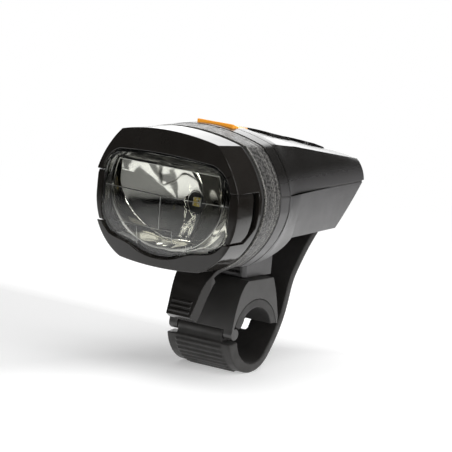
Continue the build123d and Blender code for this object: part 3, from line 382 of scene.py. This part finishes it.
# Bar pad and strap: moulded synthetic rubber with a dry surface, soft at every corner. The pad lies
# under the saddle's arch, and the strap turns on a pin in front of the bar.
def rubber(name, light, dark, roughness=0.6, grain_scale=3000, grain_depth=0.00003):
    """Dry moulded rubber with a fine grain and an uneven tone."""
    tone_scale, smear_scale = 420, 150
    finish, tree, shader = finish_tree(name, light, roughness)
    tones = spread(tree, noise(tree, tone_scale, detail=6), 0, 1, 0.3, 0.75)
    coloured(tree, shader, tones, dark, light)
    smears = noise(tree, smear_scale, detail=4)
    uneven_gloss(tree, shader, smears, roughness * 0.85, min(1, roughness * 1.25))
    shader.inputs["Sheen Weight"].default_value = 0.06
    shader.inputs["Sheen Roughness"].default_value = 0.5
    grain(tree, shader, noise(tree, grain_scale, detail=3), grain_depth)
    return finish


def cast_soft(node, name, body, finish, voxel):
    """The CAD shape cast again as one soft skin, rounded all over."""
    piece = merged_copy(node, name)
    skin = piece.modifiers.new("one skin", "REMESH")
    skin.mode, skin.voxel_size, skin.use_smooth_shade = "VOXEL", voxel, True
    relax = piece.modifiers.new("soft corners", "SMOOTH")
    relax.factor, relax.iterations = 0.5, 2
    apply_modifiers(piece)
    return finished(piece, node, body, finish, smooth=60)


pad_finish = rubber("bar pad rubber", (0.06, 0.058, 0.056), (0.045, 0.043, 0.042), roughness=0.62)
cast_soft("bar_pad", "bar_pad_rubber", "bracket", pad_finish, voxel=0.00035)
strap_finish = rubber("strap rubber", (0.036, 0.034, 0.032), (0.026, 0.024, 0.022), roughness=0.5)
cast_soft("clamp_strap", "strap", "strap", strap_finish, voxel=0.0004)


# Pins: drawn steel, plated, with fine lines along the draw. One goes through the saddle's cheeks and
# the strap's knuckle, and the lever's pin is held in the walls of the foot.
def steel(name, colour, roughness, stretch, scale=900, depth=0.000008):
    """Plated steel with drawn lines and a few dull spots."""
    spot_scale, dullness = 500, 0.82
    finish, tree, shader = finish_tree(name, colour, roughness)
    shader.inputs["Metallic"].default_value = 1.0
    lines = noise(tree, scale, detail=4, stretch=stretch)
    spots = spread(tree, noise(tree, spot_scale, detail=4), 0, 1)
    coloured(tree, shader, spots, tuple(dullness * part for part in colour), colour)
    uneven_gloss(tree, shader, lines, roughness * 0.8, roughness * 1.3)
    grain(tree, shader, lines, depth)
    return finish


pin_finish = steel("drawn pin steel", (0.6, 0.59, 0.57), 0.25, stretch=(0.1, 1, 1))
eased("strap_pin", "strap_pin_steel", "bracket", pin_finish, width=0.0002)
eased("lever_pin", "lever_pin_steel", "lamp_head", pin_finish, width=0.0002)


# Light source: a white package with a recessed yellow phosphor field under a clear silicone dome,
# soldered on a round metal-core board that two screws pull against the finned block.
def dressed(node, finish):
    """A CAD node that stays as it is, with its finish."""
    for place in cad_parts[node].material_slots:
        place.material = finish


def clear_selection():
    """Deselects the whole mesh of the primitive that was just added."""
    bpy.ops.object.mode_set(mode="EDIT")
    bpy.ops.mesh.select_all(action="DESELECT")
    bpy.ops.object.mode_set(mode="OBJECT")


# The board's mask is drawn near black, though its own mask is white: painted shade, for the shade round the
# light source deep in the cup.
board_shade_finish = moulded(
    "solder mask painted dark", (0.02, 0.02, 0.019), (0.015, 0.015, 0.014),
    roughness=0.3, grain_scale=1500, grain_depth=0.00001,
)
dressed("led_board", board_shade_finish)
sink_finish = steel(
    "extruded aluminium", (0.72, 0.72, 0.73), 0.38, stretch=(1, 0.15, 1), scale=1200, depth=0.00001
)
dressed("heat_sink", sink_finish)
screw_finish = steel("plated screw steel", (0.6, 0.6, 0.6), 0.22, stretch=(1, 1, 1))
dressed("board_screws", screw_finish)

package_width, package_depth, rim_width, recess_depth = 0.0035, 0.0008, 0.0006, 0.0002
emitter_low, emitter_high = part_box("led_emitter")
emitter_x = (emitter_low.x + emitter_high.x) / 2
emitter_z = (emitter_low.z + emitter_high.z) / 2
bpy.ops.object.select_all(action="DESELECT")
bpy.ops.mesh.primitive_cube_add(
    size=1,
    location=(emitter_x, emitter_high.y - package_depth / 2, emitter_z),
    scale=(package_width, package_depth, package_width),
)
package = placed_primitive("emitter_package")
clear_selection()
for face in package.data.polygons:
    face.select = face.normal.y < -0.9
bpy.ops.object.mode_set(mode="EDIT")
bpy.ops.mesh.inset(thickness=rim_width)
bpy.ops.transform.translate(value=(0, recess_depth, 0))
bpy.ops.object.mode_set(mode="OBJECT")
ceramic = moulded(
    "white package ceramic", (0.82, 0.8, 0.74), (0.76, 0.74, 0.68),
    roughness=0.4, grain_scale=3000, grain_depth=0.00001,
)
phosphor = moulded(
    "yellow phosphor", (0.9, 0.72, 0.16), (0.8, 0.62, 0.1),
    roughness=0.55, grain_scale=4000, grain_depth=0.00002,
)
package.data.materials.append(ceramic)
package.data.materials.append(phosphor)
# The phosphor fills the recess, and laps over the slopes above and below it.
for face in package.data.polygons:
    if face.normal.y < -0.9 and abs(face.center.x - emitter_x) < 0.0001:
        face.material_index = 1
edge = package.modifiers.new("eased corners", "BEVEL")
edge.width, edge.segments = 0.00008, 2
apply_modifiers(package)
put_on(package, "led_emitter", "lamp_head")


def clear(name, tint, ior, roughness, wave_depth):
    """Clear moulded plastic that lets the studio's light through."""
    wave_scale, shadow_tint = 160, (0.92, 0.92, 0.92, 1)
    finish, tree, shader = finish_tree(name, tint, roughness)
    shader.inputs["Transmission Weight"].default_value = 1.0
    shader.inputs["IOR"].default_value = ior
    grain(tree, shader, noise(tree, wave_scale, detail=2), wave_depth)
    through = tree.nodes.new("ShaderNodeBsdfTransparent")
    through.inputs["Color"].default_value = shadow_tint
    in_shadow = tree.nodes.new("ShaderNodeLightPath").outputs["Is Shadow Ray"]
    surface = choose_shader(tree, in_shadow, shader.outputs[0], through.outputs[0])
    tree.links.new(surface, tree.nodes["Material Output"].inputs["Surface"])
    return finish


dome_radius = 0.0014
dome_place = (emitter_x, emitter_high.y - package_depth, emitter_z)
dome_finish = clear("silicone dome", (1.0, 0.97, 0.85), ior=1.41, roughness=0.02, wave_depth=0.00001)
bpy.ops.object.select_all(action="DESELECT")
bpy.ops.mesh.primitive_uv_sphere_add(segments=32, ring_count=16, radius=dome_radius, location=dome_place)
led_dome = placed_primitive("emitter_dome")
clear_selection()
for corner in led_dome.data.vertices:
    corner.select = corner.co.y > dome_place[1] + 0.00001
bpy.ops.object.mode_set(mode="EDIT")
bpy.ops.mesh.delete(type="VERT")
bpy.ops.mesh.select_non_manifold()
bpy.ops.mesh.edge_face_add()
# A sphere's faces come in another order at each run, so they are sorted from a place to one side.
scene.cursor.location = (0.1, 0.2, 0.3)
bpy.ops.mesh.select_all(action="SELECT")
bpy.ops.mesh.sort_elements(type="CURSOR_DISTANCE", elements={"FACE"})
bpy.ops.object.mode_set(mode="OBJECT")
finished(led_dome, "led_emitter", "lamp_head", dome_finish)


# Reflector: a moulded cup, vacuum metallised inside, with flat facets on rings round the light source.
# Its flange lies behind the lens seal, inside the rim of the lens frame.
def chrome(name, colour, roughness):
    """Bright metallised lacquer with the faint waves of the moulding under it."""
    haze_scale, slow_scale, fine_scale = 300, 75, 220
    slow_depth, fine_depth = 0.003, 0.00001
    finish, tree, shader = finish_tree(name, colour, roughness)
    shader.inputs["Metallic"].default_value = 1.0
    haze = noise(tree, haze_scale, detail=2)
    uneven_gloss(tree, shader, haze, roughness * 0.8, roughness * 1.6)
    slow_waves = noise(tree, slow_scale, detail=0, stretch=(1, 0.2, 0.2))
    pressed = grain(tree, shader, slow_waves, slow_depth)
    fine_waves = noise(tree, fine_scale, detail=0)
    grain(tree, shader, fine_waves, fine_depth, strength=0.5, under=pressed)
    return finish


mirror_finish = chrome("metallised cup", (0.8, 0.79, 0.74), roughness=0.05)
eased("reflector", "reflector_cup", "lamp_head", mirror_finish, width=0.00025)

# Lens and the frame that holds it: a clear shell with optical steps inside, on a rubber seal, in a
# gloss black frame whose ears fill the bezel's side notches.
gloss_finish = moulded(
    "gloss black moulding", (0.02, 0.018, 0.016), (0.017, 0.015, 0.013),
    roughness=0.09, grain_scale=1200, grain_depth=0.000002,
)
eased("lens_frame", "lens_frame_moulding", "lamp_head", gloss_finish, width=0.0002)
seal_finish = rubber("seal rubber", (0.05, 0.05, 0.05), (0.035, 0.035, 0.035))
cast_soft("lens_seal", "lens_seal_ring", "lamp_head", seal_finish, voxel=0.0003)
lens_finish = clear("clear lens", (0.99, 1.0, 0.985), ior=1.49, roughness=0.0, wave_depth=0.00006)
lens = eased("front_lens", "lens", "lamp_head", lens_finish, width=0.00015)
step_finish, step_tree, step_shader = finish_tree("frosted step of the optic", (0.95, 0.95, 0.92), 0.45)
step_shader.inputs["Transmission Weight"].default_value = 0.35
frost_scale, frost_depth = 900, 0.00002
grain(step_tree, step_shader, noise(step_tree, frost_scale, detail=2), frost_depth)
lens.data.materials.append(step_finish)
steps_half_width, steps_low, steps_high = 0.022, 0.0375, 0.066
for face in lens.data.polygons:
    inside = abs(face.center.x) < steps_half_width and steps_low < face.center.z < steps_high
    if inside and abs(face.normal.y) < 0.5:
        face.material_index = 1

# Bezel: the front frame with its visor, chin and side notches, of black plastic from a polished
# mould. It goes over the lens frame and meets the collar behind.
eased("front_bezel", "bezel", "lamp_head", gloss_finish, width=0.00035, segments=3)

# Collar and its two bands: a hard matt ring, with rubber bands moulded round it whose coarse grain
# gives grip. The rear band's outer face is raised inside a narrow rim.
collar_finish = moulded(
    "matt collar", (0.05, 0.049, 0.047), (0.04, 0.039, 0.037),
    roughness=0.5, grain_scale=2200, grain_depth=0.00004,
)
eased("collar", "collar_ring", "lamp_head", collar_finish, width=0.0002)


def along_head(tree):
    """Place along the head, following the bow of its rings."""
    bow_by_width = 4.0
    place = own_place(tree)
    sideways = dotted(tree, place, across)
    squared = combine(tree, "MULTIPLY", sideways, sideways)
    bow = combine(tree, "MULTIPLY", squared, bow_by_width)
    return combine(tree, "SUBTRACT", dotted(tree, place, backwards), bow)


def stripe(tree, value, middle, half_width, soft):
    """One on a stripe with soft edges, nought beside it."""
    rise = ramp(tree, value, middle - half_width - soft, middle - half_width + soft, 0, 1)
    fall = ramp(tree, value, middle + half_width - soft, middle + half_width + soft, 1, 0)
    return combine(tree, "MULTIPLY", rise, fall)


def band_rubber(name, light, dark, edges):
    """Rubber with coarse raised grains, and a painted highlight along each edge: a light line, broken up by
    noise.
    """
    grain_scale, grain_depth, smear_scale, break_scale = 1100, 0.0003, 300, 2600
    highlight_grey = (0.42, 0.41, 0.38)
    finish, tree, shader = finish_tree(name, light, 0.5)
    grains = noise(tree, grain_scale, detail=2)
    coloured(tree, shader, spread(tree, grains, 0, 1, 0.38, 0.62), dark, light)
    along = along_head(tree)
    edge_highlight = 0
    for edge in edges:
        line = stripe(tree, along, edge, half_width=0.00016, soft=0.00008)
        edge_highlight = combine(tree, "MAXIMUM", edge_highlight, line)
    broken = spread(tree, noise(tree, break_scale, detail=1), 0, 1, 0.4, 0.6)
    edge_highlight = combine(tree, "MULTIPLY", edge_highlight, broken)
    coloured(tree, shader, edge_highlight, shader.inputs["Base Color"].links[0].from_socket, highlight_grey)
    uneven_gloss(tree, shader, noise(tree, smear_scale), 0.36, 0.52)
    grain(tree, shader, grains, grain_depth)
    return finish


# Places along the head of the bands' edges, where the painted highlight lines lie.
highlit_edges = (-0.0321, -0.027, -0.0256, -0.0231)
band_finish = band_rubber("grained band rubber", (0.13, 0.127, 0.122), (0.02, 0.019, 0.018), highlit_edges)
eased("front_band", "front_grip_band", "lamp_head", band_finish, width=0.0003)
rim, raised = 0.0011, 0.0004
rear_band = merged_copy("rear_band", "rear_grip_band")
middle = sum(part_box("rear_band"), Vector()) / 2
for face in rear_band.data.polygons:
    outward = Vector((face.center.x - middle.x, 0, face.center.z - middle.z)).normalized()
    face.select = face.normal.dot(outward) > 0.5 and abs(face.normal.y) < 0.6
bpy.ops.object.mode_set(mode="EDIT")
bpy.ops.mesh.select_mode(type="FACE")
bpy.ops.mesh.inset(thickness=rim, use_boundary=True, use_even_offset=True)
bpy.ops.transform.shrink_fatten(value=raised)
bpy.ops.mesh.select_mode(type="VERT")
bpy.ops.object.mode_set(mode="OBJECT")
finished(rear_band, "rear_band", "lamp_head", band_finish, smooth=40)

# Lower housing: a black moulding with a spark-eroded grain, and the foot that slides over the rail.
# The gloss lever rocks in the foot's mouth, and its tail lifts the steel leaf that locks the slide.
# Its grey is painted light: the black moulding is drawn paler, standing in for the light that its sides
# catch from the floor and the side lamp.
shell_painted_light_finish = moulded(
    "spark-eroded black", (0.1, 0.098, 0.099), (0.085, 0.083, 0.084),
    roughness=0.36, grain_scale=3200, grain_depth=0.00003, shine=0.75,
)
eased("lower_housing", "lower_shell", "lamp_head", shell_painted_light_finish, width=0.0003)
spring_finish = steel("spring steel", (0.55, 0.54, 0.52), 0.28, stretch=(0.15, 1, 1))
leaf = eased("catch_spring", "spring_leaf", "lamp_head", spring_finish, width=0.00005, held=True)
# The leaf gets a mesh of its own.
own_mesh(leaf)
lever_finish = moulded(
    "gloss lever", (0.03, 0.028, 0.026), (0.025, 0.023, 0.021),
    roughness=0.14, grain_scale=1200, grain_depth=0.000004, shine=0.35,
)
eased("release_lever", "lever_tongue", "lever", lever_finish, width=0.0003)

# Batteries: two round steel cells, each in a blue shrink sleeve, lie in a moulded black cradle. Strips
# of nickel, spot-welded to their ends, join them.
sleeve_finish = moulded(
    "blue shrink sleeve", (0.1, 0.25, 0.5), (0.08, 0.21, 0.44),
    roughness=0.2, grain_scale=900, grain_depth=0.00001,
)
dressed("battery_cell_left", sleeve_finish)
dressed("battery_cell_right", sleeve_finish)
cradle_finish = moulded(
    "black cradle", (0.05, 0.05, 0.05), (0.04, 0.04, 0.04),
    roughness=0.45, grain_scale=2200, grain_depth=0.00003,
)
dressed("battery_cradle", cradle_finish)
nickel_finish = steel("nickel strip", (0.7, 0.69, 0.66), 0.3, stretch=(1, 1, 0.1))
dressed("cell_strips", nickel_finish)

# Circuit board: glass fibre under a green mask. Soldered on it are the moulded black switch that the
# button presses, and the charging socket, which is stamped from steel.
circuit_finish = moulded(
    "green solder mask", (0.03, 0.2, 0.08), (0.02, 0.14, 0.05),
    roughness=0.3, grain_scale=1200, grain_depth=0.00002,
)
dressed("main_board", circuit_finish)
switch_finish = moulded(
    "black switch case", (0.05, 0.05, 0.05), (0.04, 0.04, 0.04),
    roughness=0.4, grain_scale=2400, grain_depth=0.00002,
)
dressed("tact_switch", switch_finish)
port_finish = steel("stamped port steel", (0.62, 0.62, 0.62), 0.3, stretch=(1, 1, 0.2))
dressed("charge_port", port_finish)

# Upper housing: the satin black roof, moulded in one piece. In a zone above the seam it is duller, and
# paler with painted light that carries the lower housing's painted grey up the side.
# A rubber gasket lies in the seam, and a rubber boot under the button keeps water out.
roof_finish = moulded(
    "satin black roof", (0.02, 0.019, 0.018), (0.016, 0.015, 0.014),
    roughness=0.22, grain_scale=3200, grain_depth=0.000004,
)
upwards = (0, 0, 1)
painted_light_tone, dull_roughness = (0.1, 0.098, 0.099), 0.36
seam_z, zone_height, zone_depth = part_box("upper_housing")[0].z, 0.009, 0.001
tree = roof_finish.node_tree
shader = tree.nodes["Principled BSDF"]
height = dotted(tree, own_place(tree), upwards)
# Towards the seam the roof fades to the lower housing's grey, which is painted light, and to its duller
# shine.
dull_zone_with_painted_light = ramp(tree, height, seam_z + zone_height, seam_z - zone_depth, 0, 1)
coloured(tree, shader, dull_zone_with_painted_light, shader.inputs["Base Color"].links[0].from_socket, painted_light_tone)
polish = shader.inputs["Roughness"].links[0].from_socket
tree.links.new(choose(tree, dull_zone_with_painted_light, polish, dull_roughness), shader.inputs["Roughness"])
eased("upper_housing", "upper_shell", "lamp_head", roof_finish, width=0.0003, held=True)

gasket_finish = rubber("grey gasket rubber", (0.1, 0.098, 0.096), (0.08, 0.078, 0.076), roughness=0.45)
bulge = 1.006
gasket = merged_copy("housing_seal", "housing_gasket")
bpy.ops.object.mode_set(mode="EDIT")
bpy.ops.mesh.select_all(action="SELECT")
bpy.ops.transform.resize(value=(bulge, 1, 1), center_override=(0, 0, 0))
bpy.ops.object.mode_set(mode="OBJECT")
finished(gasket, "housing_seal", "lamp_head", gasket_finish)

boot = cast_soft("button_boot", "boot", "lamp_head", seal_finish, voxel=0.0003)
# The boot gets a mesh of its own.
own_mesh(boot)

# Button: orange rubber with a satin face, over a hard core that presses on the boot. Its faint glow is
# painted light, as the rubber is no lamp: it makes the face brighter.
orange_finish = rubber(
    "satin orange rubber", (0.9, 0.4, 0.05), (0.85, 0.34, 0.035),
    roughness=0.4, grain_scale=2600, grain_depth=0.00002,
)
# Painted light: an emission on the rubber.
glow = orange_finish.node_tree.nodes["Principled BSDF"]
glow.inputs["Emission Color"].default_value = (1.0, 0.38, 0.025, 1)
glow.inputs["Emission Strength"].default_value = 0.45
eased("power_button", "orange_button", "button", orange_finish, width=0.0002, held=True)

# Port cover: a moulded flap of soft black rubber that lies on the roof and plugs the socket's slot.
# It is held at its rear edge and folds back from there.
cover_finish = rubber(
    "cover rubber", (0.03, 0.029, 0.028), (0.022, 0.021, 0.02),
    roughness=0.26, grain_scale=3000, grain_depth=0.000008,
)
eased("port_cover", "port_flap", "cover", cover_finish, width=0.00015, held=True)

# Housing screws: four plated steel screws, in deep bores under the lower shell, that pull the two
# shells together on the gasket.
dressed("housing_screws", screw_finish)
